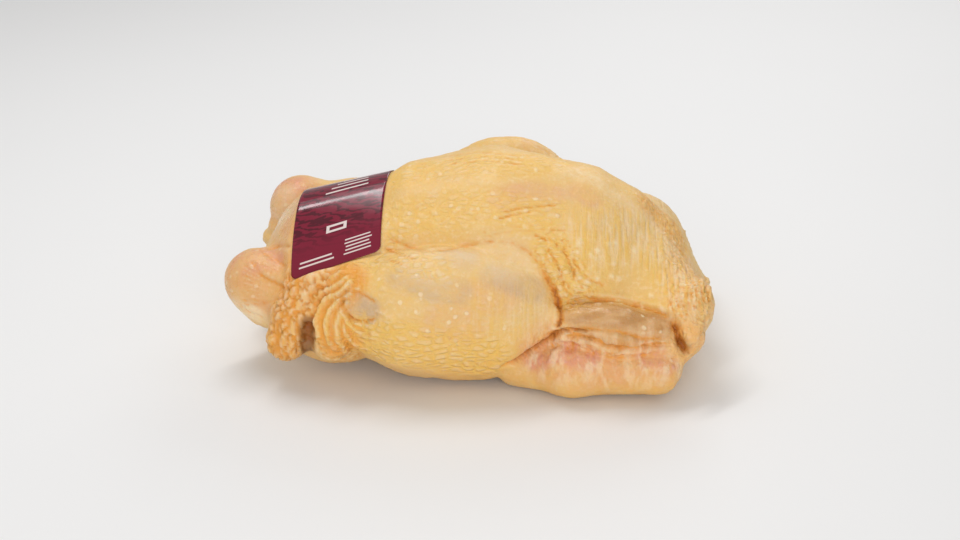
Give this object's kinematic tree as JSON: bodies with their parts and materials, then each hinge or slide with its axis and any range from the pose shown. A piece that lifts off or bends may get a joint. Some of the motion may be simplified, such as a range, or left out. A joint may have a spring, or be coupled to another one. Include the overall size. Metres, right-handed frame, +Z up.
{
  "type": "whole raw chicken",
  "caption": "Whole raw dressed chicken with yellow skin, lying on its back with legs and wings folded in, and a plain printed label across its belly.",
  "frame": {"origin": "middle of the bird's box seen from above, at the height of the face it rests on", "axes": "+X from the hocks and tail to the neck, +Y away from the shown side, +Z up, breast up"},
  "size_m": [0.2576, 0.1634, 0.1105],
  "materials": {
    "skin": "moist raw chicken skin, pale yellow to orange, softly glossy",
    "label": "glossy dark red printed label with plain bars"
  },
  "bodies": {
    "root": {"chicken": "skin", "label": "label"}
  },
  "joints": []
}
